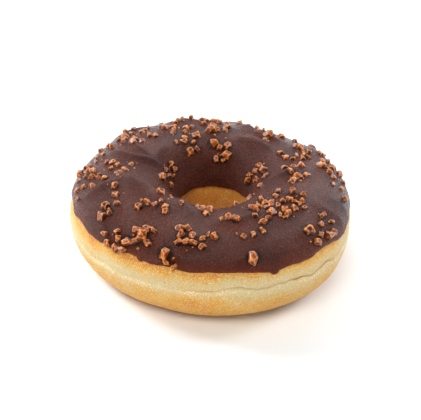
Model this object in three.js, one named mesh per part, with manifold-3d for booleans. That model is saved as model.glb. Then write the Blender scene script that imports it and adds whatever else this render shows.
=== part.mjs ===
// A ring doughnut: fried dough, dark chocolate icing over its upper half, and broken
// milk chocolate nibs stuck in the icing. Millimetres, +Z up. The origin is under the
// middle of the doughnut's box, on the surface that it lies on.
//
// A place on the ring has two angles in degrees. "turn" goes round the ring, seen from
// above and anticlockwise from +X. "girth" goes round the dough itself: -90 at the outer
// edge of the flat base, 0 at the widest place, 90 at the crest, 180 at the narrowest
// place of the hole and 270 at the inner edge of the base.

import * as THREE from "three";
import { ParametricGeometry } from "three/addons/geometries/ParametricGeometry.js";
import { mergeVertices } from "three/addons/utils/BufferGeometryUtils.js";
import Module from "manifold-3d";

// The dough ring
const RING_DIAMETER = 89.4;
const HOLE_DIAMETER = 24.8;
const DOUGH_HEIGHT = 27.6;
const CREST_RADIUS = 26.1;
const BELT_HEIGHT = 14.9;
const HOLE_WAIST_HEIGHT = 11.3;
const BASE_OUTER_RADIUS = 31.9;
const BASE_INNER_RADIUS = 20.5;
const ROUNDNESS = 2.13;

// The ring is a little uneven, so the middle of its hole is beside the middle of its box
const HOLE_MIDDLE = [0.3, -0.2];

// The pale seam round the outside, where the two fried halves meet
const SEAM_GIRTH = -3.6;
const SEAM_DEPTH = 0.55;
const SEAM_HALF_WIDTH = 3.2;

// The icing
const ICING_THICKNESS = 1.25;
const EDGE_THICKNESS = 0.55;
const EDGE_TAPER = 9;
const LIP_GIRTH = 0.8;
const ICING_GAP = 0.35;
const OUTER_EDGE_GIRTH = 14.9;
const INNER_EDGE_GIRTH = 163.6;

// Slow waves round the ring: [times round, height, turn of its first crest in degrees]
const PLAN_WAVES = [[2, 0.78, 139.2], [3, 0.12, 74.2], [4, 0.51, 29.8], [5, 0.23, 36.5]];
const CREST_WAVES = [[2, 0.34, 162.2], [3, 0.3, 101.3], [7, 0.1, 40]];
const OUTER_EDGE_WAVES = [
  [1, 3.28, 260.3], [2, 0.46, 69.4], [3, 0.22, 0.1], [5, 0.45, 39.7], [9, 0.98, 37],
  [16, 0.38, 9.1], [23, 0.58, 3.8],
];
const INNER_EDGE_WAVES = [[1, 3.84, 170.4], [3, 1.31, 36.9], [6, 0.7, 28], [11, 0.5, 5]];
const SEAM_WAVES = [
  [1, 4, 303.8], [2, 2.6, 124.7], [5, 0.94, 66.2], [9, 1.06, 39.8], [14, 1.05, 19.3],
  [20, 0.86, 10.9], [27, 0.62, 11.8],
];

// The nibs. Width, height and slopes are shares of a nib's length.
const NIB_LENGTH = 2.35;
const NIB_LENGTH_SPREAD = 0.27;
const NIB_SHORTEST = 1.25;
const NIB_LONGEST = 4;
const NIB_WIDTH = 0.76;
const NIB_WIDTH_SPREAD = 0.2;
const NIB_HEIGHT = 0.42;
const NIB_HEIGHT_SPREAD = 0.13;
const NIB_SLOPE = 0.3;
const NIB_TAPER = 0.74;
const NIB_UNEVENNESS = 0.19;
const NIB_SINK = 0.45;
const NIB_SPACING = 0.8;
const NIB_TRIES = 24;
const NIB_OUTER_MARGIN = 1.5;
const NIB_INNER_MARGIN = 3;
const NIBS_IN_SOLID = 184;

// Where the nibs fell, round the ring from its right-hand side: [turn, girth, how many, half the
// spread round the ring in mm, half the spread across it in mm, size against the usual]
const NIB_FALLS = [
  [0, 38, 9, 9, 4, 1], [6, 130, 9, 8, 3, 1], [20, 38, 6, 8, 3, 1], [25, 76, 12, 5, 5, 1],
  [45, 36, 8, 9, 5, 1], [57, 68, 7, 4.5, 6, 1], [75, 34, 9, 10, 5, 1], [82, 120, 6, 2.5, 2.5, 1.2],
  [89, 72, 12, 4.5, 5.5, 1.1], [105, 34, 9, 10, 5, 1], [111, 111, 5, 2.5, 3, 1.1],
  [114, 78, 11, 6, 7, 1], [135, 36, 8, 9, 5, 1], [140, 60, 9, 6, 5, 1], [158, 40, 5, 6, 3, 1],
  [161, 130, 7, 5, 3, 1], [182, 36, 13, 9, 3, 1], [184, 72, 11, 5.5, 8, 1], [215, 55, 7, 8, 5, 1],
  [230, 26, 7, 5, 2, 1.1], [240, 40, 6, 3, 2.5, 1.2], [240, 90, 8, 5, 3.5, 1], [252, 31, 1, 0, 0, 1.7],
  [255, 21, 4, 2, 1, 1], [262, 140, 4, 5, 3, 1], [263, 50, 11, 6, 3.5, 1], [264, 104, 6, 2, 2.5, 1],
  [280, 80, 3, 2, 1, 0.9], [285, 52, 1, 0, 0, 0.9], [287, 30, 1, 0, 0, 1.5], [290, 52, 1, 0, 0, 0.9],
  [295, 54, 1, 0, 0, 1.4], [303, 139, 3, 4, 3, 1], [305, 80, 12, 5, 4, 1], [320, 80, 16, 6, 6, 1],
  [321, 32, 8, 6, 2.5, 1.1], [357, 84, 7, 6, 4.5, 1],
];
const NIB_SEED = 41;

// Facets
const STEPS_AROUND_DOUGH = 60;
const STEPS_AROUND_ICING = 72;
const DOUGH_GIRTHS = [
  -90, -72, -56, -40, -24, -12, -6, 0, 14, 30, 48, 68, 90, 112, 132, 152, 170, 186, 206, 228, 250, 270,
];
const ICING_STEPS_ACROSS = 13;
const ICING_STEPS_UNDER = 10;

// Half the dough's width in section, for turning a length across the ring into girth
const SECTION_RADIUS = 15;

const DEGREE = Math.PI / 180;

// The sum of some waves at a turn, in the waves' own unit.
function wavesAt(waves, turn) {
  return waves.reduce(
    (sum, [times, height, first]) => sum + height * Math.cos(times * (turn - first) * DEGREE), 0);
}

// One quarter of the dough's section as a rounded corner: its middle and its two half sizes.
function quarterAt(girth, outerRadius) {
  const height = DOUGH_HEIGHT;
  const holeRadius = HOLE_DIAMETER / 2;
  if (girth < 0) return [BASE_OUTER_RADIUS, BELT_HEIGHT, outerRadius - BASE_OUTER_RADIUS, BELT_HEIGHT];
  if (girth < 90) return [CREST_RADIUS, BELT_HEIGHT, outerRadius - CREST_RADIUS, height - BELT_HEIGHT];
  if (girth < 180) {
    return [CREST_RADIUS, HOLE_WAIST_HEIGHT, CREST_RADIUS - holeRadius, height - HOLE_WAIST_HEIGHT];
  }
  return [BASE_INNER_RADIUS, HOLE_WAIST_HEIGHT, BASE_INNER_RADIUS - holeRadius, HOLE_WAIST_HEIGHT];
}

// How far the seam's groove goes into the dough at a place.
function seamDepthAt(turn, girth) {
  const off = (girth - SEAM_GIRTH - wavesAt(SEAM_WAVES, turn)) / SEAM_HALF_WIDTH;
  return SEAM_DEPTH * Math.exp(-off * off);
}

// The dough's surface in the section plane at a turn, as [radius, height].
function doughAt(turn, girth) {
  const outerRadius = RING_DIAMETER / 2 + wavesAt(PLAN_WAVES, turn);
  const [middleRadius, middleHeight, halfWide, halfHigh] = quarterAt(girth, outerRadius);
  const across = Math.cos(girth * DEGREE);
  const up = Math.sin(girth * DEGREE);
  const reach = (Math.abs(across / halfWide) ** ROUNDNESS + Math.abs(up / halfHigh) ** ROUNDNESS)
    ** (-1 / ROUNDNESS) - seamDepthAt(turn, girth);
  const height = middleHeight + reach * up;
  const lift = wavesAt(CREST_WAVES, turn) * Math.max(0, height / DOUGH_HEIGHT) ** 2;
  return [middleRadius + reach * across, height + lift];
}

// The direction straight out of the dough there, in the section plane.
function outwardAt(turn, girth) {
  const step = 0.5;
  const [r0, z0] = doughAt(turn, girth - step);
  const [r1, z1] = doughAt(turn, girth + step);
  const length = Math.hypot(r1 - r0, z1 - z0);
  return [(z1 - z0) / length, -(r1 - r0) / length];
}

// A point of space that lies some way outside the dough's surface.
function pointOver(turn, girth, over) {
  const [radius, height] = doughAt(turn, girth);
  const [outward, up] = outwardAt(turn, girth);
  const [middleX, middleY] = HOLE_MIDDLE;
  const r = radius + over * outward;
  return new THREE.Vector3(
    middleX + r * Math.cos(turn * DEGREE), middleY + r * Math.sin(turn * DEGREE), height + over * up);
}

function icingEdgesAt(turn) {
  return [
    OUTER_EDGE_GIRTH + wavesAt(OUTER_EDGE_WAVES, turn),
    INNER_EDGE_GIRTH + wavesAt(INNER_EDGE_WAVES, turn),
  ];
}

// The icing thins out towards both of its edges.
function icingThicknessAt(turn, girth) {
  const [outer, inner] = icingEdgesAt(turn);
  const fromEdge = Math.max(0, Math.min(girth - outer, inner - girth)) / EDGE_TAPER;
  return ICING_THICKNESS - (ICING_THICKNESS - EDGE_THICKNESS) * Math.exp(-fromEdge * fromEdge);
}

function icingTopAt(turn, girth) {
  return pointOver(turn, girth, ICING_GAP + icingThicknessAt(turn, girth));
}

// A closed ring whose section is a loop of points: loopAt gives the point at a turn and a step.
function closedRing(loopAt, stepsRound, stepsAround) {
  const place = (u, v, target) => {
    const turn = (Math.round(u * stepsAround) % stepsAround) * 360 / stepsAround;
    target.copy(loopAt(turn, Math.round(v * stepsRound) % stepsRound));
  };
  return new ParametricGeometry(place, stepsAround, stepsRound);
}

function doughGeometry() {
  const loopAt = (turn, step) => pointOver(turn, DOUGH_GIRTHS[step], 0);
  return closedRing(loopAt, DOUGH_GIRTHS.length, STEPS_AROUND_DOUGH);
}

// The bare icing: over the top from edge to edge, then back underneath, a gap off the dough.
function icingGeometry() {
  const lip = ICING_GAP + EDGE_THICKNESS / 2;
  const loopAt = (turn, step) => {
    const [outer, inner] = icingEdgesAt(turn);
    if (step <= ICING_STEPS_ACROSS) {
      return icingTopAt(turn, outer + (inner - outer) * step / ICING_STEPS_ACROSS);
    }
    if (step === ICING_STEPS_ACROSS + 1) return pointOver(turn, inner + LIP_GIRTH, lip);
    const back = (step - ICING_STEPS_ACROSS - 2) / ICING_STEPS_UNDER;
    if (back <= 1) return pointOver(turn, inner - (inner - outer) * back, ICING_GAP);
    return pointOver(turn, outer - LIP_GIRTH, lip);
  };
  return closedRing(loopAt, ICING_STEPS_ACROSS + ICING_STEPS_UNDER + 4, STEPS_AROUND_ICING);
}

// Repeatable random numbers: dice() is from 0 to 1.
function diceFrom(seed) {
  let state = seed;
  return () => {
    state = (Math.imul(state, 1664525) + 1013904223) >>> 0;
    return state / 2 ** 32;
  };
}

// One nib as it was broken: its size, how it lies and how each of its corners strays.
function brokenNib(dice, size) {
  const even = () => dice() * 2 - 1;
  const bell = (dice() + dice() + dice() - 1.5) / 0.866;
  const drawn = NIB_LENGTH * size * Math.exp(NIB_LENGTH_SPREAD * bell);
  const length = Math.min(NIB_LONGEST, Math.max(NIB_SHORTEST, drawn));
  return {
    length,
    width: length * (NIB_WIDTH + NIB_WIDTH_SPREAD * even()),
    height: length * (NIB_HEIGHT + NIB_HEIGHT_SPREAD * even()),
    spin: 180 * even(),
    lean: NIB_SLOPE * even(),
    tip: NIB_SLOPE * even(),
    corners: Array.from({ length: 8 }, () => [even(), even(), even()]),
  };
}

// A place on the icing for a nib, drawn within the patch where it fell.
function landed(nib, dice, [turn, girth, , along, across]) {
  const flatRadius = CREST_RADIUS + SECTION_RADIUS * Math.cos(girth * DEGREE);
  const place = turn + (along * (dice() * 2 - 1)) / flatRadius / DEGREE;
  const drawn = girth + (across * (dice() * 2 - 1)) / SECTION_RADIUS / DEGREE;
  const [outer, inner] = icingEdgesAt(place);
  const kept = Math.min(inner - NIB_INNER_MARGIN, Math.max(outer + NIB_OUTER_MARGIN, drawn));
  return { ...nib, turn: place, girth: kept, spot: icingTopAt(place, kept) };
}

// Every nib in the order in which they fell. One that finds no room in its patch is left out.
function fallenNibs() {
  const fallen = [];
  const dice = diceFrom(NIB_SEED);
  const hasRoom = (nib) => fallen.every(
    (other) => nib.spot.distanceTo(other.spot) > NIB_SPACING * (nib.length + other.length) / 2);
  for (const fall of NIB_FALLS) {
    const [, , count, , , size] = fall;
    for (let n = 0; n < count; n++) {
      const broken = brokenNib(dice, size);
      for (let attempt = 0; attempt < NIB_TRIES; attempt++) {
        const nib = landed(broken, dice, fall);
        if (hasRoom(nib)) {
          fallen.push(nib);
          break;
        }
      }
    }
  }
  return fallen;
}

// A broken block with uneven corners and a slanting top narrower than its base, which is
// sunk a little into the icing.
function nibGeometry(nib) {
  const block = new THREE.BoxGeometry(1, 1, 1);
  block.deleteAttribute("normal");
  block.deleteAttribute("uv");
  const merged = mergeVertices(block);
  const corner = merged.getAttribute("position");
  for (let i = 0; i < corner.count; i++) {
    const [a, b, c] = nib.corners[i];
    const top = corner.getZ(i) > 0;
    const taper = top ? NIB_TAPER : 1;
    const x = nib.length * taper * (corner.getX(i) + NIB_UNEVENNESS * a);
    const y = nib.width * taper * (corner.getY(i) + NIB_UNEVENNESS * b);
    const z = nib.height * (1 + NIB_UNEVENNESS * c) + nib.lean * x + nib.tip * y;
    corner.setXYZ(i, x, y, top ? z : -NIB_SINK);
  }
  const [outward, up] = outwardAt(nib.turn, nib.girth);
  const turn = nib.turn * DEGREE;
  const normal = new THREE.Vector3(outward * Math.cos(turn), outward * Math.sin(turn), up);
  const vertical = new THREE.Vector3(0, 0, 1);
  const stand = new THREE.Quaternion().setFromUnitVectors(vertical, normal);
  stand.multiply(new THREE.Quaternion().setFromAxisAngle(vertical, nib.spin * DEGREE));
  return merged.applyMatrix4(new THREE.Matrix4().compose(nib.spot, stand, new THREE.Vector3(1, 1, 1)));
}

const wasm = await Module();
wasm.setup();

function solidOf(geometry) {
  const bare = geometry.clone();
  bare.deleteAttribute("normal");
  bare.deleteAttribute("uv");
  const merged = mergeVertices(bare, 1e-4);
  return new wasm.Manifold(new wasm.Mesh({
    numProp: 3,
    vertProperties: merged.getAttribute("position").array,
    triVerts: new Uint32Array(merged.index.array),
  }));
}

function geometryOf(solid) {
  const { vertProperties, triVerts } = solid.getMesh();
  return new THREE.BufferGeometry()
    .setAttribute("position", new THREE.BufferAttribute(vertProperties, 3))
    .setIndex(new THREE.BufferAttribute(triVerts, 1));
}

// The icing with its largest nibs, as one piece.
function icedNibsGeometry() {
  const largest = fallenNibs().sort((a, b) => b.length - a.length).slice(0, NIBS_IN_SOLID);
  const bare = solidOf(icingGeometry());
  return geometryOf(largest.reduce((whole, nib) => whole.add(solidOf(nibGeometry(nib))), bare));
}

function namedMesh(name, geometry, colour, roughness) {
  const material = new THREE.MeshStandardMaterial({ color: colour, roughness, metalness: 0 });
  const mesh = new THREE.Mesh(geometry, material);
  mesh.name = name;
  return mesh;
}

const doughnut = new THREE.Group();
doughnut.add(namedMesh("dough_ring", doughGeometry(), 0xdcb068, 0.75));
doughnut.add(namedMesh("chocolate_icing", icedNibsGeometry(), 0x4a2a20, 0.45));

export default doughnut;
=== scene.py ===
"""A ring doughnut with dark chocolate icing and milk chocolate nibs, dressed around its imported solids.

A place on the ring has two angles in degrees. "turn" goes round the ring, seen from above and
anticlockwise from +X. "girth" goes round the dough itself: -90 at the outer edge of the flat base,
0 at the widest place, 90 at the crest, 180 at the narrowest place of the hole and 270 at the inner
edge of the base. Lengths are in metres.
"""

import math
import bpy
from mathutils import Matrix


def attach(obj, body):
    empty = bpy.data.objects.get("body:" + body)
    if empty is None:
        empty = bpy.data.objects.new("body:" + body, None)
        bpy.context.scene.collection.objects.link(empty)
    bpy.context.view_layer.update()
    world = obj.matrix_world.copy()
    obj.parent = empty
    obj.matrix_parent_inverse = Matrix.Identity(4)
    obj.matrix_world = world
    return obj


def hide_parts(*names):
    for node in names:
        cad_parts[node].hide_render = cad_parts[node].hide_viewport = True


bl_info = {
    "name": "Chocolate Doughnut",
    "version": (1, 0, 0),
    "blender": (4, 5, 0),
    "location": "3D View > Sidebar > Doughnut",
    "description": "Bakes the dough, pours the icing and scatters the nibs of a ring doughnut",
    "category": "Object",
}

import bpy
import numpy as np
from bpy.props import FloatProperty, FloatVectorProperty, IntProperty, PointerProperty
from bpy.types import Operator, Panel, PropertyGroup
from mathutils import Euler, Matrix, Vector

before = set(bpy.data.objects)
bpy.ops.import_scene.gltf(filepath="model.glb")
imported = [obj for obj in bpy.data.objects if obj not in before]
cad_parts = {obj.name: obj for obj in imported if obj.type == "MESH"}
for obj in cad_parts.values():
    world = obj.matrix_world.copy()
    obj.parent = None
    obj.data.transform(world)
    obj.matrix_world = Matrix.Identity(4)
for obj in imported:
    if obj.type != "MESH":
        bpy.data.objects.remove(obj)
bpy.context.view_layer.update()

MM = 0.001
BODY = "root"

# Slow waves round the ring: [times round, height, turn of its first crest in degrees]
PLAN_WAVES = [[2, 0.78 * MM, 139.2], [3, 0.12 * MM, 74.2], [4, 0.51 * MM, 29.8], [5, 0.23 * MM, 36.5]]
CREST_WAVES = [[2, 0.34 * MM, 162.2], [3, 0.3 * MM, 101.3], [7, 0.1 * MM, 40]]
OUTER_EDGE_WAVES = [
    [1, 3.28, 260.3], [2, 0.46, 69.4], [3, 0.22, 0.1], [5, 0.45, 39.7], [9, 0.98, 37],
    [16, 0.38, 9.1], [23, 0.58, 3.8],
]
INNER_EDGE_WAVES = [[1, 3.84, 170.4], [3, 1.31, 36.9], [6, 0.7, 28], [11, 0.5, 5]]
SEAM_WAVES = [
    [1, 4, 303.8], [2, 2.6, 124.7], [5, 0.94, 66.2], [9, 1.06, 39.8], [14, 1.05, 19.3],
    [20, 0.86, 10.9], [27, 0.62, 11.8],
]

# Where the seam has cracked open: [turn, half its length in degrees, depth]
SEAM_CRACKS = [
    [287.5, 16, 0.45 * MM], [315.5, 19, 0.5 * MM], [263, 12, 0.2 * MM], [20, 24, 0.6 * MM],
    [78, 30, 0.5 * MM], [128, 16, 0.7 * MM], [176, 20, 0.4 * MM],
]

# How brown the crust is fried: [degrees of girth above the seam, share]
BAKE_BANDS = [
    [-90, 0.8], [-58, 0.76], [-44, 0.7], [-28, 0.62], [-16, 0.54], [-8, 0.34], [-2, 0.1], [4, 0.06],
    [9, 0.1], [13, 0.34], [17, 0.62], [22, 0.78], [34, 0.66], [130, 0.5], [180, 0.5], [225, 0.7],
    [270, 0.75],
]

# Small drips at the icing's outer edge: [turn, half its width in degrees, length in girth]
ICING_DRIPS = [
    [294.5, 1.5, 2.2], [242, 1.2, 2], [199, 3, 1.6], [331.5, 5, 2.4], [70, 3.5, 2.4], [118, 2, 1.8],
]

# Soft folds in the icing: [turn, girth, turn, girth, half its width, height]
ICING_FOLDS = [
    [161.5, 61, 167, 93, 1.6 * MM, 1.5 * MM], [167, 93, 160.5, 115, 1.9 * MM, 1.35 * MM],
    [149.5, 73, 157.5, 103.5, 1.3 * MM, 1.26 * MM], [138, 103, 154.5, 109, 1.4 * MM, 1.14 * MM],
    [194.5, 83, 214, 98, 2.6 * MM, 2.25 * MM], [214, 98, 240, 94.5, 2.4 * MM, 2.1 * MM],
    [199, 41, 197, 72.5, 1.6 * MM, 1.2 * MM], [223.5, 80, 235.5, 75.5, 0.9 * MM, 1.2 * MM],
    [237, 110.5, 261.5, 94.5, 2.4 * MM, 1.35 * MM], [66.5, 97.5, 42, 97, 1.9 * MM, 1.8 * MM],
    [72, 55.5, 59.5, 78.5, 1.5 * MM, 1.35 * MM], [59.5, 78.5, 43, 72.5, 1.5 * MM, 1.35 * MM],
    [350.5, 108.5, 3, 83.5, 1.7 * MM, 1.5 * MM], [327, 89.5, 331, 70.5, 1.3 * MM, 0.96 * MM],
    [331, 51.5, 334.5, 22, 1.2 * MM, 0.48 * MM], [340, 50, 343, 24.5, 1.2 * MM, 0.48 * MM],
    [273.5, 77, 302.5, 84, 1.6 * MM, 0.9 * MM], [98, 57.4, 112, 45.9, 1.6 * MM, 1.2 * MM],
    [24, 54.1, 34, 36.1, 1.7 * MM, 1.14 * MM], [128, 39.4, 140, 27.9, 1.5 * MM, 1.05 * MM],
    [82, 36.1, 70, 24.6, 1.8 * MM, 1.05 * MM],
]

# Where the nibs fell, round the ring from its right-hand side: [turn, girth, how many, half the
# spread round the ring in mm, half the spread across it in mm, size against the usual]
NIB_FALLS = [
    [0, 38, 9, 9, 4, 1], [6, 130, 9, 8, 3, 1], [20, 38, 6, 8, 3, 1], [25, 76, 12, 5, 5, 1],
    [45, 36, 8, 9, 5, 1], [57, 68, 7, 4.5, 6, 1], [75, 34, 9, 10, 5, 1], [82, 120, 6, 2.5, 2.5, 1.2],
    [89, 72, 12, 4.5, 5.5, 1.1], [105, 34, 9, 10, 5, 1], [111, 111, 5, 2.5, 3, 1.1],
    [114, 78, 11, 6, 7, 1], [135, 36, 8, 9, 5, 1], [140, 60, 9, 6, 5, 1], [158, 40, 5, 6, 3, 1],
    [161, 130, 7, 5, 3, 1], [182, 36, 13, 9, 3, 1], [184, 72, 11, 5.5, 8, 1], [215, 55, 7, 8, 5, 1],
    [230, 26, 7, 5, 2, 1.1], [240, 40, 6, 3, 2.5, 1.2], [240, 90, 8, 5, 3.5, 1],
    [252, 31, 1, 0, 0, 1.7], [255, 21, 4, 2, 1, 1], [262, 140, 4, 5, 3, 1], [263, 50, 11, 6, 3.5, 1],
    [264, 104, 6, 2, 2.5, 1], [280, 80, 3, 2, 1, 0.9], [285, 52, 1, 0, 0, 0.9], [287, 30, 1, 0, 0, 1.5],
    [290, 52, 1, 0, 0, 0.9], [295, 54, 1, 0, 0, 1.4], [303, 139, 3, 4, 3, 1], [305, 80, 12, 5, 4, 1],
    [320, 80, 16, 6, 6, 1], [321, 32, 8, 6, 2.5, 1.1], [357, 84, 7, 6, 4.5, 1],
]
NIB_SEED = 41
NIB_TRIES = 24
NIB_OUTER_MARGIN = 1.5
NIB_INNER_MARGIN = 3

# The signs of a block's corners along its length, width and height
NIB_CORNERS = [
    (1, 1, 1), (1, -1, 1), (1, 1, -1), (1, -1, -1), (-1, 1, -1), (-1, -1, -1), (-1, 1, 1), (-1, -1, 1),
]

# The crumbs' lengths, how far they lie from the nib that they broke off, in mm, and between which
# girths
CRUMB_SEED = 20418
CRUMB_SHORTEST, CRUMB_LONGEST = 0.48 * MM, 0.928 * MM
CRUMB_NEAREST, CRUMB_FARTHEST = 1.5, 3.1
CRUMB_LOWEST, CRUMB_DEEPEST = 25, 152
# About how many degrees a crumb's millimetre takes up, round the ring and across it
TURN_PER_MM = 1.9
GIRTH_PER_MM = 3.6

# About half the dough's width in section, and the icing's mean distance from the ring's middle, for
# turning a length on the icing into girth or turn
SECTION_RADIUS = 15 * MM
MEAN_RADIUS = 30 * MM

# Steps in the meshes: round the ring, and along each edge of a nib's or a crumb's block
RING_STEPS = 600
NIB_STEPS = 7
CRUMB_STEPS = 3


def srgb(red, green, blue):
    """A colour as it is seen on a screen, from 0 to 255, as the linear colour that a material takes."""
    shares = [channel / 255 for channel in (red, green, blue)]
    return tuple(c / 12.92 if c <= 0.04045 else ((c + 0.055) / 1.055) ** 2.4 for c in shares)


def length(name, description, default):
    return FloatProperty(name=name, description=description, default=default, unit="LENGTH", precision=5)


def number(name, description, default):
    return FloatProperty(name=name, description=description, default=default)


def colour(name, description, default):
    return FloatVectorProperty(
        name=name, description=description, default=default, size=3, subtype="COLOR", min=0, max=1)


class DoughSettings(PropertyGroup):
    ring_diameter: length("Ring diameter", "Across the dough at its widest", 89.4 * MM)
    hole_diameter: length("Hole diameter", "Across the hole at its narrowest", 24.8 * MM)
    height: length("Height", "Of the bare dough", 27.6 * MM)
    crest_radius: length("Crest radius", "From the middle of the hole to the highest line", 26.1 * MM)
    belt_height: length("Belt height", "Height of the widest place outside", 14.9 * MM)
    waist_height: length("Waist height", "Height of the narrowest place of the hole", 11.3 * MM)
    base_outer_radius: length("Base outer radius", "Outer edge of the flat underside", 31.9 * MM)
    base_inner_radius: length("Base inner radius", "Inner edge of the flat underside", 20.5 * MM)
    roundness: number("Roundness", "Power of the section's curve: 2 is an ellipse", 2.13)
    hole_middle_x: length("Hole middle X", "Of the hole, from the middle of the doughnut's box", 0.3 * MM)
    hole_middle_y: length("Hole middle Y", "Of the hole, from the middle of the doughnut's box", -0.2 * MM)
    seam_girth: number("Seam girth", "Where the two fried halves meet, in degrees of girth", -3.6)
    seam_depth: length("Seam depth", "Of the shallow groove along the seam", 0.3 * MM)
    pale: colour("Pale dough", "Belt that stayed out of the hot oil", srgb(209, 190, 142))
    golden: colour("Golden crust", "Lightly fried crust", srgb(217, 161, 60))
    brown: colour("Brown crust", "Crust that was fried longest", srgb(200, 116, 26))
    sugar: colour("Sugar", "Fine pale grains on the crust", srgb(250, 236, 200))
    crack: colour("Crack", "Moist crumb deep in the seam", srgb(186, 106, 30))
    # Amber: painted warm shade and bounce light on the crust inside the hole
    hole_shade_amber: colour("Amber", "Oily crust inside the hole", srgb(216, 138, 14))


class IcingSettings(PropertyGroup):
    thickness: length("Thickness", "Of the icing over the crest", 1.25 * MM)
    edge_thickness: length("Edge thickness", "Of the icing at its two edges", 0.55 * MM)
    edge_taper: number("Edge taper", "Degrees of girth over which it thins out", 9)
    gap: length("Gap", "Between the dough and the solid that the icing stands for", 0.35 * MM)
    outer_edge_girth: number("Outer edge", "Mean girth of the outer edge, in degrees", 14.9)
    inner_edge_girth: number("Inner edge", "Mean girth of the edge in the hole, in degrees", 163.6)
    lip_girth: number("Lip", "Degrees of girth over which the edge rounds over", 3.2)
    dark: colour("Dark chocolate", "Icing where it is thick", srgb(53, 14, 4))
    bloom: colour("Bloom", "Paler, drier patches of the icing", srgb(95, 39, 18))
    # Dust: pale specks, partly sugar and partly painted glints of light caught by the fine grain
    sugar_and_glints: colour("Dust", "Fine pale specks of sugar on the icing", srgb(170, 130, 112))
    # Contact: painted contact shadow, a near-black ring of shade on the icing round each nib
    contact: colour("Contact", "Moist icing pressed up round a nib", srgb(22, 9, 6))
    thin: colour("Thin edge", "Icing where dough shines through", srgb(128, 46, 20))


class NibSettings(PropertyGroup):
    length: length("Length", "Usual length of a nib", 2.35 * MM)
    length_spread: number("Length spread", "Of the logarithm of the length", 0.27)
    shortest: length("Shortest", "No nib is shorter", 1.25 * MM)
    longest: length("Longest", "No nib is longer", 4 * MM)
    width: number("Width", "Share of the length", 0.76)
    width_spread: number("Width spread", "Share of the length", 0.2)
    height: number("Height", "Share of the length", 0.42)
    height_spread: number("Height spread", "Share of the length", 0.13)
    slope: number("Slope", "Steepest slant of a nib's top", 0.3)
    taper: number("Taper", "Top against base", 0.74)
    unevenness: number("Unevenness", "How far corners stray, as a share of the length", 0.19)
    sink: length("Sink", "How deep a nib sits in the icing", 0.45 * MM)
    spacing: number("Spacing", "Least distance between two nibs against their mean length", 0.8)
    crumbs: IntProperty(name="Crumbs", description="Tiny bits that broke off the nibs", default=150, min=0)
    milk: colour("Milk chocolate", "Broken faces of the nibs", srgb(132, 58, 8))
    # Rubbed edge: a painted highlight on the nibs' rims and corners
    edge: colour("Rubbed edge", "Paler rims and corners", srgb(224, 138, 62))
    # Hollow: painted shade in the nibs' dished middles and on their low sides
    hollow_shade: colour("Hollow", "Darker dished middles", srgb(66, 24, 8))


class StageSettings(PropertyGroup):
    floor: colour("Floor", "Pale floor under the doughnut", (0.925, 0.955, 1.0))
    warm: colour("Warm lamp", "Tint of the softbox in front", (1.0, 0.955, 0.85))
    cool: colour("Cool lamp", "Tint of the softboxes at the back and the sides", (0.94, 0.97, 1.0))
    distance: length("Camera distance", "From the camera to the middle of the doughnut", 0.2957)
    target_height: length("Target height", "Height of the point that the camera looks at", 16 * MM)
    elevation: FloatProperty(
        name="Elevation", description="Camera's angle above the floor", default=math.radians(32.13),
        unit="ROTATION")
    roll: FloatProperty(
        name="Roll", description="Camera's lean to one side", default=math.radians(1.74), unit="ROTATION")
    focal_length: number("Focal length", "Of the lens, in mm on a 36 mm frame", 78.82)
    shift_x: number("Shift X", "Sideways framing, as a share of the frame", 0.0004)
    shift_y: number("Shift Y", "Upright framing, as a share of the frame", -0.0128)
    back_light: number("Back light", "Brightness of the wide softbox behind", 2.5)
    front_light: number("Front light", "Brightness of the low softbox in front", 1.5)
    high_light: number("High light", "Brightness of the softbox above the camera", 6.2)
    left_light: number("Left light", "Brightness of the softbox at the left", 24.0)
    right_light: number("Right light", "Brightness of the softbox at the right", 14.0)
    rim_light: number("Rim light", "Brightness of the low softbox at the back right", 3.4)
    sky: number("Sky", "Brightness of the light from all round", 0.2)


# Surfaces

def waves_at(waves, turn):
    """The sum of some waves at a turn, in the waves' own unit."""
    return sum(height * np.cos(np.radians(times * (turn - first))) for times, height, first in waves)


def quarter_at(dough, girth, outer_radius):
    """The quarter of the section at a girth as a rounded corner: its middle and its two half sizes."""
    hole_radius = dough.hole_diameter / 2
    quarters = [girth < 0, girth < 90, girth < 180]
    middle_radius = np.select(
        quarters, [dough.base_outer_radius, dough.crest_radius, dough.crest_radius], dough.base_inner_radius)
    middle_height = np.select(quarters[1:], [dough.belt_height, dough.waist_height], dough.waist_height)
    half_wide = np.select(quarters, [
        outer_radius - dough.base_outer_radius, outer_radius - dough.crest_radius,
        dough.crest_radius - hole_radius + 0 * outer_radius,
    ], dough.base_inner_radius - hole_radius)
    half_high = np.select(quarters, [
        dough.belt_height, dough.height - dough.belt_height, dough.height - dough.waist_height,
    ], dough.waist_height)
    return middle_radius, middle_height, half_wide, half_high


def dough_at(dough, turn, girth):
    """The bare dough's surface in the section plane at a turn, as radius and height."""
    turn, girth = np.broadcast_arrays(np.asarray(turn, float), np.asarray(girth, float))
    outer_radius = dough.ring_diameter / 2 + waves_at(PLAN_WAVES, turn)
    middle_radius, middle_height, half_wide, half_high = quarter_at(dough, girth, outer_radius)
    across = np.cos(np.radians(girth))
    up = np.sin(np.radians(girth))
    power = dough.roundness
    reach = (np.abs(across / half_wide) ** power + np.abs(up / half_high) ** power) ** (-1 / power)
    height = middle_height + reach * up
    lift = waves_at(CREST_WAVES, turn) * np.maximum(0, height / dough.height) ** 2
    return middle_radius + reach * across, height + lift


def outward_at(dough, turn, girth):
    """The direction straight out of the dough, in the section plane."""
    step = 0.5
    radius_before, height_before = dough_at(dough, turn, girth - step)
    radius_after, height_after = dough_at(dough, turn, girth + step)
    size = np.hypot(radius_after - radius_before, height_after - height_before)
    return (height_after - height_before) / size, -(radius_after - radius_before) / size


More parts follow.
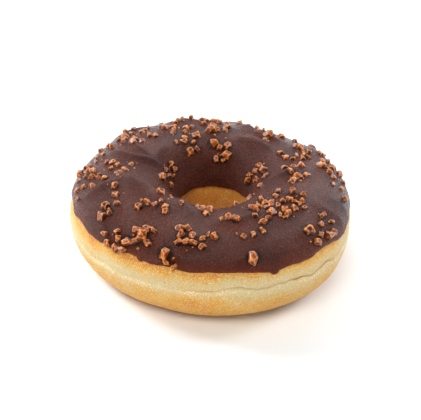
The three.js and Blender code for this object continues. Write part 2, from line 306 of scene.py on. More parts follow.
def point_over(dough, turn, girth, over):
    """A point of space that lies some way outside the bare dough's surface."""
    radius, height = dough_at(dough, turn, girth)
    outward, up = outward_at(dough, turn, girth)
    reach = radius + over * outward
    angle = np.radians(turn)
    x = dough.hole_middle_x + reach * np.cos(angle)
    y = dough.hole_middle_y + reach * np.sin(angle)
    return np.stack([x, y, height + over * up], axis=-1)


def icing_edges_at(icing, turn):
    """The girths of the icing's outer edge and of its edge in the hole."""
    outer = icing.outer_edge_girth + waves_at(OUTER_EDGE_WAVES, turn)
    inner = icing.inner_edge_girth + waves_at(INNER_EDGE_WAVES, turn)
    return outer, inner


def icing_over_at(icing, turn, girth):
    """How far the icing's smooth top lies over the bare dough. It thins out towards both edges."""
    outer, inner = icing_edges_at(icing, turn)
    from_edge = np.maximum(0, np.minimum(girth - outer, inner - girth)) / icing.edge_taper
    lost = (icing.thickness - icing.edge_thickness) * np.exp(-from_edge ** 2)
    return icing.gap + icing.thickness - lost


# Unevenness

def lumps(points, size, seed):
    """Smooth noise from -1 to 1 whose lumps are about size across."""
    scaled = np.asarray(points) / size
    cell = np.floor(scaled).astype(np.int64)
    part = scaled - cell
    part = part * part * (3 - 2 * part)
    total = 0
    for corner in np.ndindex(2, 2, 2):
        key = ((cell + corner) * [73856093, 19349663, 83492791]).sum(axis=-1) + seed * 40503
        key = ((key ^ (key >> 13)) * 1274126177) & 0xFFFFFFFF
        value = ((key ^ (key >> 15)) & 0xFFFF) / 32767.5 - 1
        total = total + value * np.where(corner, part, 1 - part).prod(axis=-1)
    return total


def turn_apart(turn, other):
    """The signed difference of two turns, from -180 to 180 degrees."""
    return (turn - other + 180) % 360 - 180


def bump_at(turn, middle, half):
    """A smooth rise to 1 at a turn that has faded out at twice half from it."""
    return np.exp(-(turn_apart(turn, middle) / half) ** 4)


def seam_at(dough, turn):
    """The girth of the seam at a turn, with its fine wander."""
    wander = 0.45 * np.sin(np.radians(turn * 41)) * np.sin(np.radians(turn * 17))
    return dough.seam_girth + waves_at(SEAM_WAVES, turn) + wander


def crack_at(dough, turn, girth):
    """How open the seam's crack is at a place, from 0 to 1, and its depth there."""
    depth = sum(deep * bump_at(turn, middle, half) for middle, half, deep in SEAM_CRACKS)
    line = np.stack([np.radians(turn) * dough.ring_diameter / 2, 0 * turn, 0 * turn], axis=-1)
    jitter = 0.7 * lumps(line, 1.7 * MM, 7) + 0.35 * lumps(line, 0.7 * MM, 8)
    apart = girth - seam_at(dough, turn) - jitter
    mark = np.exp(-(apart / 0.7) ** 2) * (0.8 + 0.4 * lumps(line, 3 * MM, 9))
    return mark, depth


def dough_relief(dough, turn, girth, points):
    """How far the real dough stands out from the smooth one."""
    apart = girth - seam_at(dough, turn)
    mark, depth = crack_at(dough, turn, girth)
    groove = -dough.seam_depth * np.exp(-(apart / 4.5) ** 2)
    overhang = 0.35 * np.exp(-((apart - 3.2) / 2.6) ** 2) + 0.2 * np.exp(-((apart + 3.4) / 3) ** 2)
    along = np.stack([np.radians(turn) * dough.ring_diameter / 2, girth * 0.27 * MM, 0 * turn], axis=-1)
    wrinkles = lumps(along * [1, 6, 1], 5 * MM, 5) + 0.5 * lumps(along * [1, 6, 1], 2.4 * MM, 6)
    belt = np.exp(-((girth + 8) / 22) ** 2)
    soft = 0.28 * lumps(points, 13 * MM, 1) + 0.13 * lumps(points, 5 * MM, 2)
    soft = soft + 0.045 * lumps(points, 1.7 * MM, 3)
    return groove - 0.8 * depth * mark + 0.7 * depth * overhang + (soft + 0.07 * belt * wrinkles) * MM


def fold_height(turn, girth, fold):
    """One soft fold of the icing: a ridge along a line, measured on the unrolled surface."""
    turn_a, girth_a, turn_b, girth_b, half, height = fold
    round_scale = math.radians(1) * MEAN_RADIUS
    across_scale = math.radians(1) * SECTION_RADIUS
    run = np.array([turn_apart(turn_b, turn_a) * round_scale, (girth_b - girth_a) * across_scale])
    x = turn_apart(turn, turn_a) * round_scale
    y = (girth - girth_a) * across_scale
    share = (x * run[0] + y * run[1]) / (run @ run)
    held = np.clip(share, 0, 1)
    away = np.hypot(x - held * run[0], y - held * run[1]) / half
    return height * (0.55 + 0.45 * np.sin(np.pi * held)) * np.exp(-away ** 1.7)


def icing_relief(turn, girth, points):
    """How far the real icing stands out from the smooth one."""
    soft = 0.3 * lumps(points, 14 * MM, 11) + 0.14 * lumps(points, 6.5 * MM, 12)
    soft = soft + 0.05 * lumps(points, 2.6 * MM, 13)
    fine = 0.012 * lumps(points, 0.9 * MM, 14)
    return sum(fold_height(turn, girth, fold) for fold in ICING_FOLDS) + (soft + fine) * MM


def icing_top_at(dough, icing, turn, girth):
    """A point of the icing's real surface."""
    smooth = point_over(dough, turn, girth, icing_over_at(icing, turn, girth))
    relief = icing_relief(np.asarray(turn, float), np.asarray(girth, float), smooth)
    return point_over(dough, turn, girth, icing_over_at(icing, turn, girth) + relief)


# Meshes

def add_piece(name, points, faces, marks, finish, node):
    """A smooth mesh piece with its marks as values on its points, standing for a solid."""
    mesh = bpy.data.meshes.new(name)
    mesh.from_pydata(np.asarray(points).reshape(-1, 3).tolist(), [], np.asarray(faces).tolist())
    for mark, values in marks.items():
        layer = mesh.attributes.new(mark, "FLOAT", "POINT")
        layer.data.foreach_set("value", np.asarray(values, np.float32).ravel())
    mesh.shade_smooth()
    mesh.materials.append(finish)
    piece = bpy.data.objects.new(name, mesh)
    bpy.context.scene.collection.objects.link(piece)
    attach(piece, BODY)
    if node:
        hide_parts(node)


def ring_faces(around, along):
    """The four-sided faces of a closed ring whose section is a closed loop of points."""
    place = np.arange(around * along).reshape(around, along)
    ahead = np.roll(place, -1, axis=0)
    corners = [place, ahead, np.roll(ahead, -1, axis=1), np.roll(place, -1, axis=1)]
    return np.stack(corners, axis=-1).reshape(-1, 4)


def block_grid(steps):
    """The points of a gridded cube from -1 to 1, closer together at its edges, and its faces."""
    line = np.tan(np.linspace(-1, 1, steps + 1) * 0.72) / math.tan(0.72)
    found, points, faces = {}, [], []
    for axis, far, i, j in np.ndindex(3, 2, steps, steps):
        face = []
        for a, b in ((i, j), (i + 1, j), (i + 1, j + 1), (i, j + 1)):
            spot = [0.0, 0.0, 0.0]
            spot[axis] = 1 if far else -1
            spot[(axis + 1) % 3] = line[a]
            spot[(axis + 2) % 3] = line[b]
            key = tuple(round(value, 5) for value in spot)
            if key not in found:
                found[key] = len(points)
                points.append(spot)
            face.append(found[key])
        faces.append(face if far else face[::-1])
    return np.array(points), np.array(faces)


def neighbour_means(count, faces):
    """A matrix that gives the mean of each point's neighbours along the edges of the faces."""
    share = np.zeros((count, count))
    for shift in (1, -1):
        share[faces, np.roll(faces, shift, axis=1)] = 1
    return share / share.sum(axis=1, keepdims=True)


# Finishes

class Wire:
    """A value, colour or vector on its way through a material. A sum of values adds Math nodes."""

    def __init__(self, finish, socket):
        self.finish = finish
        self.socket = socket

    def _math(self, operation, first, second=0.0):
        return self.finish.node("ShaderNodeMath", {"operation": operation}, {0: first, 1: second})

    def __add__(self, other):
        return self._math("ADD", self, other)

    __radd__ = __add__

    def __sub__(self, other):
        return self._math("SUBTRACT", self, other)

    def __rsub__(self, other):
        return self._math("SUBTRACT", other, self)

    def __mul__(self, other):
        return self._math("MULTIPLY", self, other)

    __rmul__ = __mul__

    def between(self, low, high):
        """0 where this is at low or less, rising smoothly to 1 at high."""
        return self.finish.node("ShaderNodeMapRange", {"interpolation_type": "SMOOTHSTEP"}, {
            "Value": self, "From Min": low, "From Max": high})


class Finish:
    """A material that is put together node by node."""

    def __init__(self, name):
        self.material = bpy.data.materials.new(name)
        self.material.use_nodes = True
        self.tree = self.material.node_tree
        self.tree.nodes.clear()
        self.place = self.node("ShaderNodeTexCoord", {}, {}, "Object")

    def node(self, kind, settings, inputs, out=0):
        """Adds a node, sets it, fills its inputs with values or wires, and gives its output."""
        node = self.tree.nodes.new(kind)
        for key, value in settings.items():
            if key == "stops":
                self._set_stops(node.color_ramp, value)
            else:
                setattr(node, key, value)
        for key, value in inputs.items():
            if isinstance(value, Wire):
                self.tree.links.new(value.socket, node.inputs[key])
            else:
                node.inputs[key].default_value = value
        return Wire(self, node.outputs[out]) if node.outputs else None

    @staticmethod
    def _set_stops(ramp, stops):
        while len(ramp.elements) < len(stops):
            ramp.elements.new(0.5)
        for element, (position, shade) in zip(ramp.elements, stops):
            element.position = position
            element.color = (*shade, 1)

    def mark(self, name):
        """A value that is stored on the mesh's points."""
        return self.node("ShaderNodeAttribute", {"attribute_name": name}, {}, "Fac")

    def grain(self, size, detail, roughness):
        """Noise from about 0 to 1 whose grains are size metres across."""
        return self.node("ShaderNodeTexNoise", {}, {
            "Vector": self.place, "Scale": 1 / size, "Detail": detail, "Roughness": roughness})

    def spots(self, size):
        """Distance from the middle of the nearest of many spots, size metres apart."""
        return self.node("ShaderNodeTexVoronoi", {}, {"Vector": self.place, "Scale": 1 / size})

    def blend(self, share, first, second):
        """A colour between two others."""
        inputs = {0: share}
        for index, shade in ((6, first), (7, second)):
            inputs[index] = shade if isinstance(shade, Wire) else (*shade, 1)
        return self.node("ShaderNodeMix", {"data_type": "RGBA"}, inputs, 2)

    def ramp(self, value, stops):
        return self.node("ShaderNodeValToRGB", {"stops": stops}, {"Fac": value}, "Color")

    def bump(self, height, distance):
        """A Normal from a height that stands for distance metres."""
        return self.node("ShaderNodeBump", {}, {"Height": height, "Distance": distance, "Strength": 1.0})

    def done(self, **inputs):
        """Ends the material in a Principled shader, with its inputs by their names in lower case."""
        named = {}
        for key, value in inputs.items():
            named[key.replace("_", " ").title().replace("Ior", "IOR")] = value
        shader = self.node("ShaderNodeBsdfPrincipled", {}, named)
        self.node("ShaderNodeOutputMaterial", {}, {"Surface": shader})
        return self.material


def dough_finish(dough):
    """Matte fried crust: a pale belt, golden above it and browner below, with pores and freckles, darker in
    its pores, and painted warm shade and bounce light inside the hole.
    """
    finish = Finish("fried_dough")
    bake = finish.mark("bake")
    open_seam = finish.mark("crack")
    crumb = finish.mark("crumb")
    mottle = finish.grain(4 * MM, 4, 0.6)
    freckle = finish.grain(0.9 * MM, 3, 0.6)
    flour = finish.grain(0.35 * MM, 2, 0.6)
    tone = bake + 0.6 * (mottle - 0.5) + 0.5 * (freckle - 0.5) + 0.6 * (flour - 0.5)
    tone = tone + 0.3 * crumb * (flour - 0.4)
    crust = finish.ramp(tone, [
        (0.0, dough.pale), (0.34, tuple(0.55 * p + 0.45 * g for p, g in zip(dough.pale, dough.golden))),
        (0.6, dough.golden), (1.0, dough.brown),
    ])
    pores = finish.spots(1.5 * MM).between(0.2, 0.06)
    speck = finish.grain(0.34 * MM, 1, 0.5).between(0.52, 0.66)
    # The crust is darker in its pores
    darker_in_pores = finish.blend(0.35 * pores * (1 - open_seam), crust, dough.brown)
    # Painted shade and bounce light: the crust inside the hole turns a deep amber
    hole_shade_amber = finish.blend(0.4 + 0.6 * mottle.between(0.32, 0.54), dough.brown, dough.hole_shade_amber)
    hole_shaded = finish.blend(0.92 * finish.mark("oil"), darker_in_pores, hole_shade_amber)
    specked = finish.blend((0.42 + 0.4 * crumb) * speck + 0.45 * crumb * mottle, hole_shaded, dough.sugar)
    base = finish.blend(0.9 * open_seam, specked, dough.crack)
    fine = finish.bump(freckle * 0.9 + flour * 1.4 + mottle * 0.8 - 0.8 * pores, 0.24 * MM)
    rough = 0.62 + 0.16 * (freckle - 0.5)
    return finish.done(
        base_color=base, roughness=rough, normal=fine, subsurface_weight=0.22,
        subsurface_radius=(1.0, 0.55, 0.25), subsurface_scale=1.6 * MM, specular_ior_level=0.32)


def icing_finish(icing):
    """Satin dark chocolate with a fine grain, thin and reddish along its edges, with pale specks that are
    partly sugar and partly painted glints, and a painted contact shadow round each nib.
    """
    finish = Finish("dark_chocolate_icing")
    thin = finish.mark("thin")
    cloud = finish.grain(9 * MM, 3, 0.55)
    grain = finish.grain(0.42 * MM, 3, 0.65)
    tone = 0.6 * cloud + 1.7 * (grain - 0.5) + 0.2
    shade = finish.blend(tone.between(0.2, 0.85), icing.dark, icing.bloom)
    # Pale specks: partly sugar, partly painted glints of light on the grain
    sugar_and_glints = finish.grain(0.36 * MM, 1, 0.5).between(0.58, 0.74)
    specked = finish.blend(0.16 * sugar_and_glints, shade, icing.sugar_and_glints)
    # Painted contact shadow: the icing turns near-black round each nib
    contact_shadowed = finish.blend(0.85 * finish.mark("contact"), specked, icing.contact)
    base = finish.blend(thin, contact_shadowed, icing.thin)
    ripple = finish.grain(1.6 * MM, 2, 0.5)
    fine = finish.bump(grain * 1.5 + ripple * 0.6, 0.42 * MM)
    rough = 0.25 + 0.12 * (cloud - 0.5) + 0.16 * (grain - 0.5)
    return finish.done(
        base_color=base, roughness=rough, normal=fine, specular_ior_level=0.155,
        sheen_weight=0.03, sheen_roughness=0.45, sheen_tint=(0.82, 0.88, 1.0, 1.0))


def nib_finish(nibs):
    """Broken milk chocolate with satin faces, a painted highlight on its rims and corners, and painted shade
    in its dished middles and on its low sides.
    """
    finish = Finish("milk_chocolate_nibs")
    rim = finish.mark("rim")
    tone = finish.mark("tone")
    grain = finish.grain(0.5 * MM, 3, 0.6)
    broken = finish.grain(1.3 * MM, 2, 0.5)
    # Painted light: convex rims are painted pale as a highlight, hollows dark as shade
    light = 0.38 + 6 * rim + 0.5 * (broken - 0.5) + 0.5 * (grain - 0.5)
    # Painted shade: each nib darker towards its foot
    light = light + 0.07 * tone - 0.42 * finish.mark("foot")
    base = finish.ramp(light, [(0.05, nibs.hollow_shade), (0.4, nibs.milk), (0.95, nibs.edge)])
    fine = finish.bump(grain * 0.8 + broken * 0.8, 0.12 * MM)
    return finish.done(
        base_color=base, roughness=0.34 + 0.2 * (grain - 0.5), normal=fine, specular_ior_level=0.4,
        coat_weight=0.22, coat_roughness=0.16)


# Pieces

class DOUGHNUT_OT_bake_dough(Operator):
    """Bakes the ring of fried dough, with its pale belt and cracked seam"""

    bl_idname = "doughnut.bake_dough"
    bl_label = "Bake the dough"

    def execute(self, context):
        dough = context.scene.doughnut_dough
        turn = np.linspace(0, 360, RING_STEPS, endpoint=False)[:, None]
        girth = np.concatenate([
            np.arange(-90, -18, 2.0), np.arange(-18, 8, 0.6), np.arange(8, 30, 1.5),
            np.arange(30, 150, 4.0), np.arange(150, 271, 2.0)])[None, :]
        turn, girth = np.broadcast_arrays(turn, girth)
        smooth = point_over(dough, turn, girth, 0 * turn)
        relief = dough_relief(dough, turn, girth, smooth)
        fade = np.clip(smooth[..., 2] / (2 * MM), 0, 1)
        points = point_over(dough, turn, girth, relief * fade)
        mark, depth = crack_at(dough, turn, girth)
        above_seam = girth - waves_at(SEAM_WAVES, turn) * 0.5 - dough.seam_girth + 1
        bake = np.interp(above_seam, *zip(*BAKE_BANDS))
        bake = bake + 0.12 * lumps(smooth, 9 * MM, 21) + 0.07 * lumps(smooth, 3 * MM, 22)
        base_points, base_bake = self.underside(dough, points, turn)
        points = np.concatenate([points, base_points], axis=1)
        bake = np.concatenate([bake, base_bake], axis=1)
        crack = np.concatenate([mark * np.clip(depth / (0.6 * MM), 0, 1), 0 * base_bake], axis=1)
        # Where the painted shade and bounce light inside the hole lies
        oil = np.concatenate([np.exp(-((girth - 186) / 40) ** 4), 0 * base_bake], axis=1)
        below = seam_at(dough, turn) - girth
        torn = np.exp(-((below - 3.6) / 3.4) ** 2) * np.clip(0.6 + 0.6 * lumps(smooth, 5 * MM, 23), 0, 1)
        crumb = np.concatenate([torn, 0 * base_bake], axis=1)
        points[..., 2] = np.maximum(points[..., 2], 0)
        marks = {"bake": bake, "crack": crack, "oil": oil, "crumb": crumb}
        faces = ring_faces(*points.shape[:2])
        finish = dough_finish(dough)
        add_piece("fried_dough_ring", points, faces, marks, finish, "dough_ring")
        return {"FINISHED"}

    @staticmethod
    def underside(dough, points, turn):
        """The flat ring that the doughnut lies on, inwards from the hole's edge to the outer one."""
        share = np.linspace(0, 1, 22)[None, 1:-1, None]
        flat = points[:, -1:] * (1 - share) + points[:, :1] * share
        dents = np.maximum(0, lumps(flat, 4 * MM, 31) + 0.5 * lumps(flat, 1.8 * MM, 32))
        flat[..., 2] = 0.16 * MM * dents * np.sin(np.pi * share[..., 0])
        return flat, 0.86 + 0.14 * lumps(flat, 6 * MM, 33)


class DOUGHNUT_OT_pour_icing(Operator):
    """Pours the dark chocolate icing over the upper half, with its folds and wavy edge"""

    bl_idname = "doughnut.pour_icing"
    bl_label = "Pour the icing"

    def execute(self, context):
        dough = context.scene.doughnut_dough
        icing = context.scene.doughnut_icing
        turn = np.linspace(0, 360, RING_STEPS, endpoint=False)[:, None]
        outer, inner = icing_edges_at(icing, turn)
        ragged = point_over(dough, turn, outer, 0 * turn)
        outer = outer + 0.55 * lumps(ragged, 2.6 * MM, 41) + 0.3 * lumps(ragged, 1.1 * MM, 42)
        outer = outer - sum(long * bump_at(turn, at, wide) for at, wide, long in ICING_DRIPS)
        inner = inner + 0.5 * lumps(ragged, 3 * MM, 43)
        sunk = -0.3 * MM
        lip = icing.lip_girth
        curl = np.radians(np.linspace(0, 90, 8))
        across = np.linspace(0, 1, 150)[1:-1]
        under = np.linspace(1, 0, 14)[1:-1]
        girth = np.concatenate([
            outer - 0.6, *(outer + lip * (1 - math.cos(c)) for c in curl),
            *(outer + lip + (inner - outer - 2 * lip) * a for a in across),
            *(inner - lip * (1 - math.cos(c)) for c in curl[::-1]), inner + 0.6,
            *(outer + (inner - outer) * u for u in under)], axis=1)
        shares = np.concatenate([
            [0], np.sin(curl), np.ones(len(across)), np.sin(curl[::-1]), [0], 0 * under])
        turns = np.broadcast_to(turn, girth.shape)
        over = icing_over_at(icing, turns, girth)
        smooth = point_over(dough, turns, girth, over)
        relief = icing_relief(turns, girth, smooth)
        inwards = np.minimum(girth - outer, inner - girth)
        top = over + relief * np.clip(inwards / 12, 0, 1)
        points = point_over(dough, turns, girth, sunk + (top - sunk) * shares)
        thin = np.exp(-(inwards / 1.3) ** 2) * (0.8 + 0.2 * lumps(smooth, 4 * MM, 44))
        thin = np.maximum(thin, 0.22 * np.exp(-np.abs(inwards / 7) ** 3))
        # Painted contact shadow round each nib
        contact = self.contact_shadow_from(fallen_nibs(dough, icing, context.scene.doughnut_nibs), points)
        marks = {"thin": thin, "contact": contact}
        faces = ring_faces(*points.shape[:2])
        finish = icing_finish(icing)
        add_piece("dark_chocolate_icing", points, faces, marks, finish, "chocolate_icing")
        return {"FINISHED"}

    @staticmethod
    def contact_shadow_from(fallen, points):
        """How much painted contact shadow each point takes: how close it is to a nib, from 0 away from all
        of them to 1 under one.
        """
        contact = np.zeros(points.shape[:2])
        for nib in fallen:
            away = np.linalg.norm(points - np.array(nib["spot"]), axis=2) / nib["length"]
            contact = np.maximum(contact, np.clip((0.7 - away) / 0.16, 0, 1))
        return contact


class Dice:
    """Repeatable random numbers, the same as those that placed the solid nibs."""

    def __init__(self, seed):
        self.state = seed

    def share(self):
        self.state = (self.state * 1664525 + 1013904223) & 0xFFFFFFFF
        return self.state / 2 ** 32

    def even(self):
        return self.share() * 2 - 1


def broken_nib(nibs, dice, size):
    """One nib as it was broken: its size, how it lies and how each of its corners strays."""
    bell = (dice.share() + dice.share() + dice.share() - 1.5) / 0.866
    drawn = nibs.length * size * math.exp(nibs.length_spread * bell)
    longest = min(nibs.longest, max(nibs.shortest, drawn))
    return {
        "length": longest,
        "width": longest * (nibs.width + nibs.width_spread * dice.even()),
        "height": longest * (nibs.height + nibs.height_spread * dice.even()),
        "spin": 180 * dice.even(),
        "lean": nibs.slope * dice.even(),
        "tip": nibs.slope * dice.even(),
        "corners": [[dice.even(), dice.even(), dice.even()] for _ in range(8)],
    }


def landed(dough, icing, nib, dice, fall):
    """The nib at a place on the icing that is drawn within the patch where it fell."""
    turn, girth, _, along, across, _ = fall
    flat_radius = dough.crest_radius + SECTION_RADIUS * math.cos(math.radians(girth))
    place = turn + math.degrees(along * MM * dice.even() / flat_radius)
    drawn = girth + math.degrees(across * MM * dice.even() / SECTION_RADIUS)
    outer, inner = icing_edges_at(icing, place)
    kept = min(inner - NIB_INNER_MARGIN, max(outer + NIB_OUTER_MARGIN, drawn))
    spot = point_over(dough, place, kept, icing_over_at(icing, place, kept))
    return {**nib, "turn": place, "girth": kept, "spot": spot}


def has_room(nibs, nib, fallen):
    """Whether a nib lies clear of those that fell before it."""
    for other in fallen:
        least = nibs.spacing * (nib["length"] + other["length"]) / 2
        if math.dist(nib["spot"], other["spot"]) <= least:
            return False
    return True


def fallen_nibs(dough, icing, nibs):
    """Every nib in the order in which they fell. One that finds no room in its patch is left out."""
    fallen = []
    dice = Dice(NIB_SEED)
    for fall in NIB_FALLS:
        _, _, count, _, _, size = fall
        for _ in range(count):
            broken = broken_nib(nibs, dice, size)
            for _ in range(NIB_TRIES):
                nib = landed(dough, icing, broken, dice, fall)
                if has_room(nibs, nib, fallen):
                    fallen.append(nib)
                    break
    return fallen


def standing(dough, icing, nib):
    """Where a nib stands on the icing's real surface, as a matrix."""
    turn, girth = nib["turn"], nib["girth"]
    outward, up = outward_at(dough, turn, girth)
    angle = math.radians(turn)
    normal = Vector((outward * math.cos(angle), outward * math.sin(angle), up))
    spot = Vector(icing_top_at(dough, icing, turn, girth))
    rotation = Vector((0, 0, 1)).rotation_difference(normal).to_matrix().to_4x4()
    return Matrix.Translation(spot) @ rotation @ Matrix.Rotation(math.radians(nib["spin"]), 4, "Z")


def broken_block(cube, dice):
    """A cube from -1 to 1 as a rounded lump with a few broken faces and sometimes a dished top."""
    sharpness = 3.2 + 4 * dice.share()
    lump = cube / (np.abs(cube) ** sharpness).sum(axis=1, keepdims=True) ** (1 / sharpness)
    for _ in range(5):
        cut = np.array([dice.even(), dice.even(), 0.1 + 0.8 * dice.share()])
        cut /= np.linalg.norm(cut)
        beyond = np.maximum(0, lump @ cut - (0.7 + 0.35 * dice.share()))
        lump = lump - beyond[:, None] * cut
    shift = np.array([dice.share(), dice.share(), dice.share()]) * 40
    rough = 0.09 * lumps(cube + shift, 1.2, 51) + 0.035 * lumps(cube + shift, 0.5, 52)
    deep = max(0, 0.75 * dice.share() - 0.12)
    from_hollow = np.hypot(cube[:, 0] - 0.3 * dice.even(), cube[:, 1])
    dish = np.clip(1 - from_hollow / 0.95, 0, 1) * (cube[:, 2] > 0.99)
    lump = lump * (1 + rough[:, None])
    lump[:, 2] -= deep * dish ** 0.6
    return lump


def nib_points(nibs, nib, cube):
    """The points of one broken nib, standing at the origin."""
    lump = broken_block(cube, Dice(int(nib["spin"] * 1e6) & 0xFFFFFFFF))
    corners = []
    for (x, y, z), (a, b, c) in zip(NIB_CORNERS, nib["corners"]):
        taper = nibs.taper if z > 0 else 1
        along = nib["length"] * taper * (x / 2 + nibs.unevenness * a)
        aside = nib["width"] * taper * (y / 2 + nibs.unevenness * b)
        top = nib["height"] * (1 + nibs.unevenness * c) + nib["lean"] * along + nib["tip"] * aside
        corners.append((along, aside, top if z > 0 else -nibs.sink))
    weights = np.ones((len(cube), 8))
    for index, signs in enumerate(NIB_CORNERS):
        for axis in range(3):
            weights[:, index] *= (1 + signs[axis] * lump[:, axis]) / 2
    return weights @ np.array(corners)


class DOUGHNUT_OT_scatter_nibs(Operator):
    """Scatters the broken milk chocolate nibs over the icing, with a few tiny crumbs"""

    bl_idname = "doughnut.scatter_nibs"
    bl_label = "Scatter the nibs"

    def execute(self, context):
        scene = context.scene
        dough, icing, nibs = scene.doughnut_dough, scene.doughnut_icing, scene.doughnut_nibs
        fallen = fallen_nibs(dough, icing, nibs)
        self.heap("chocolate_nibs", fallen, NIB_STEPS, dough, icing, nibs)
        self.heap("chocolate_crumbs", self.crumbs(fallen, nibs), CRUMB_STEPS, dough, icing, nibs)
        return {"FINISHED"}

    @staticmethod
    def crumbs(fallen, nibs):
        """Tiny bits that lie beside the nibs that they broke off."""
        dice = Dice(CRUMB_SEED)
        bits = []
        for _ in range(nibs.crumbs):
            parent = fallen[int(dice.share() * len(fallen))]
            bit = broken_nib(nibs, dice, 1)
            drawn = CRUMB_SHORTEST + (CRUMB_LONGEST - CRUMB_SHORTEST) * dice.share()
            shrink = drawn / bit["length"]
            away = CRUMB_NEAREST + (CRUMB_FARTHEST - CRUMB_NEAREST) * dice.share()
            angle = math.pi * dice.even()
            bit["turn"] = parent["turn"] + away * TURN_PER_MM * math.cos(angle)
            bit["girth"] = parent["girth"] + away * GIRTH_PER_MM * math.sin(angle)
            for key in ("length", "width", "height"):
                bit[key] *= shrink
            if CRUMB_LOWEST < bit["girth"] < CRUMB_DEEPEST:
                bits.append(bit)
        return bits

    @staticmethod
    def heap(name, bits, steps, dough, icing, nibs):
        """Many bits joined into one piece."""
        cube, faces = block_grid(steps)
        means = neighbour_means(len(cube), faces)
        points, rims, foot_shades, tones = [], [], [], []
        for index, nib in enumerate(bits):
            local = nib_points(nibs, nib, cube)
            outward = local - local.mean(axis=0)
            outward /= np.linalg.norm(outward, axis=1, keepdims=True)
            # How far each point stands out from its neighbours, for the painted highlight on rims and the
            # painted shade in hollows
            rise = ((local - means @ local) * outward).sum(axis=1)
            rims.append(rise / (nib["length"] / steps))
            # Painted shade on each nib's low sides, darkest where it meets the icing
            foot_shades.append(np.clip(1 - local[:, 2] / (0.8 * nib["height"]), 0, 1))
            stand = np.array(standing(dough, icing, nib))
            points.append(local @ stand[:3, :3].T + stand[:3, 3])
            tones.append(np.full(len(cube), math.sin(index * 12.9898)))
        every_face = (faces[None] + np.arange(len(bits))[:, None, None] * len(cube)).reshape(-1, 4)
        marks = {"rim": rims, "foot": foot_shades, "tone": tones}
        add_piece(name, points, every_face, marks, nib_finish(nibs), None)


def softbox(name, place, wide, high, brightness, tint):
    """A large rectangular lamp at a place, turned to the doughnut, as bright as a white of that value."""
    lamp = bpy.data.lights.new(name, "AREA")
    lamp.shape = "RECTANGLE"
    lamp.size, lamp.size_y, lamp.energy = wide, high, brightness * wide * high * math.pi
    lamp.color = tint
    stand = bpy.data.objects.new(name, lamp)
    stand.location = place
    stand.rotation_euler = (Vector((0, 0, 0.02)) - Vector(place)).to_track_quat("-Z", "Y").to_euler()
    bpy.context.scene.collection.objects.link(stand)


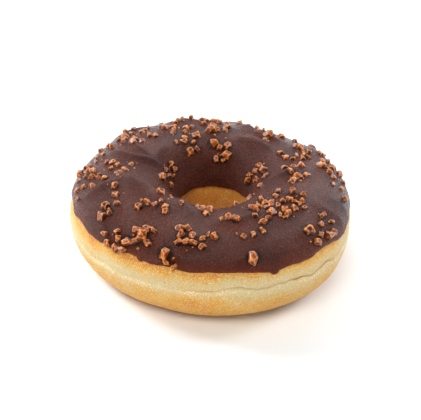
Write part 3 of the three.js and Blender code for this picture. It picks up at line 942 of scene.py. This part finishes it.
class DOUGHNUT_OT_set_stage(Operator):
    """Lays the pale floor and sets up the soft lights and the camera"""

    bl_idname = "doughnut.set_stage"
    bl_label = "Set the stage"

    def execute(self, context):
        stage = context.scene.doughnut_stage
        self.floor(stage)
        self.lights(context.scene, stage)
        self.camera(context.scene, stage)
        return {"FINISHED"}

    @staticmethod
    def floor(stage):
        finish = Finish("pale_floor")
        cloud = finish.grain(0.05, 2, 0.5)
        darker = tuple(0.985 * channel for channel in stage.floor)
        material = finish.done(base_color=finish.blend(cloud, darker, stage.floor), roughness=0.85)
        half = 6.0
        mesh = bpy.data.meshes.new("floor")
        corners = [(-half, -half, 0), (half, -half, 0), (half, half, 0), (-half, half, 0)]
        mesh.from_pydata(corners, [], [(0, 1, 2, 3)])
        mesh.materials.append(material)
        floor = bpy.data.objects.new("floor", mesh)
        bpy.context.scene.collection.objects.link(floor)

    @staticmethod
    def lights(scene, stage):
        softbox("back_softbox", (-0.14, 0.68, 0.42), 1.3, 0.66, stage.back_light, stage.cool)
        softbox("front_softbox", (-0.4, -0.88, 0.16), 1.3, 0.32, stage.front_light, stage.warm)
        softbox("high_softbox", (-0.16, -0.5, 0.76), 0.6, 0.4, stage.high_light, stage.warm)
        softbox("left_softbox", (-0.6, 0.26, 0.42), 0.22, 0.3, stage.left_light, stage.cool)
        softbox("right_softbox", (0.64, 0.2, 0.42), 0.22, 0.32, stage.right_light, stage.cool)
        softbox("rim_softbox", (0.5, 0.56, 0.16), 0.5, 0.3, stage.rim_light, stage.cool)
        world = bpy.data.worlds.new("soft_room")
        world.use_nodes = True
        room = world.node_tree.nodes["Background"]
        room.inputs["Color"].default_value = (1.0, 1.0, 1.0, 1)
        room.inputs["Strength"].default_value = stage.sky
        scene.world = world
        scene.view_settings.view_transform = "Standard"

    @staticmethod
    def camera(scene, stage):
        lens = bpy.data.cameras.new("camera")
        lens.lens = stage.focal_length
        lens.sensor_width = 36
        lens.shift_x, lens.shift_y = stage.shift_x, stage.shift_y
        camera = bpy.data.objects.new("camera", lens)
        back = Vector((0, -math.cos(stage.elevation), math.sin(stage.elevation)))
        camera.location = Vector((0, 0, stage.target_height)) + back * stage.distance
        tilt = Euler((math.pi / 2 - stage.elevation, 0, 0)).to_matrix()
        camera.rotation_euler = (tilt @ Matrix.Rotation(stage.roll, 3, "Z")).to_euler()
        scene.collection.objects.link(camera)
        scene.camera = camera


class DOUGHNUT_PT_kitchen(Panel):
    """Lists the steps of making the doughnut"""

    bl_label = "Chocolate Doughnut"
    bl_idname = "DOUGHNUT_PT_kitchen"
    bl_space_type = "VIEW_3D"
    bl_region_type = "UI"
    bl_category = "Doughnut"

    def draw(self, context):
        for operator in OPERATORS:
            self.layout.operator(operator.bl_idname)
        for settings in SETTINGS:
            group = getattr(context.scene, settings)
            box = self.layout.box()
            for key in group.bl_rna.properties.keys():
                if key not in ("rna_type", "name"):
                    box.prop(group, key)


OPERATORS = [
    DOUGHNUT_OT_bake_dough,
    DOUGHNUT_OT_pour_icing,
    DOUGHNUT_OT_scatter_nibs,
    DOUGHNUT_OT_set_stage,
]
SETTINGS = {
    "doughnut_dough": DoughSettings,
    "doughnut_icing": IcingSettings,
    "doughnut_nibs": NibSettings,
    "doughnut_stage": StageSettings,
}


def register():
    for group in (*SETTINGS.values(), *OPERATORS, DOUGHNUT_PT_kitchen):
        bpy.utils.register_class(group)
    for name, group in SETTINGS.items():
        setattr(bpy.types.Scene, name, PointerProperty(type=group))


def unregister():
    for name in SETTINGS:
        delattr(bpy.types.Scene, name)
    for group in (DOUGHNUT_PT_kitchen, *reversed(OPERATORS), *reversed(SETTINGS.values())):
        bpy.utils.unregister_class(group)


def main():
    register()
    bpy.ops.doughnut.bake_dough()
    bpy.ops.doughnut.pour_icing()
    bpy.ops.doughnut.scatter_nibs()
    bpy.ops.doughnut.set_stage()


if __name__ == "__main__":
    main()
